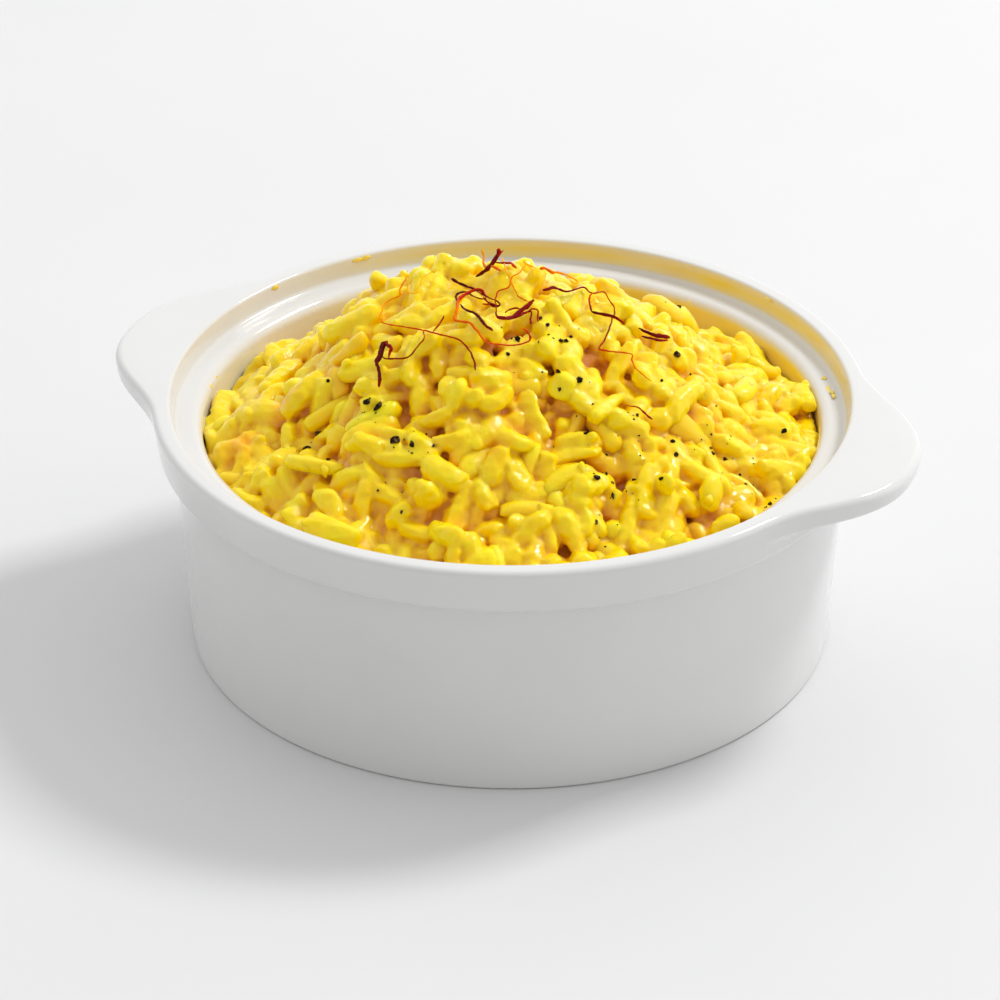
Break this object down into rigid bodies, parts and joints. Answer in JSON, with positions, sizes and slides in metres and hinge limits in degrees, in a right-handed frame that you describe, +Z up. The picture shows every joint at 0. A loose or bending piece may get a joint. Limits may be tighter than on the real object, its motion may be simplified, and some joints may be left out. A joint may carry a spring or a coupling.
{
  "type": "saffron risotto",
  "caption": "Saffron risotto heaped in a small round white casserole bowl with two lug handles, topped with saffron threads and ground pepper.",
  "frame": {"origin": "middle of the bowl's foot, on the table", "axes": "+X through the two lug handles, +Z up"},
  "size_m": [0.152, 0.13, 0.0695],
  "materials": {
    "porcelain": "glossy white glaze",
    "saffron_rice": "moist, glossy, slightly translucent cooked rice",
    "saffron_thread": "dry crimson threads with orange ends",
    "black_pepper": "coarse matte flakes"
  },
  "bodies": {
    "root": {"bowl": "porcelain", "risotto": "saffron_rice"}
  },
  "joints": []
}
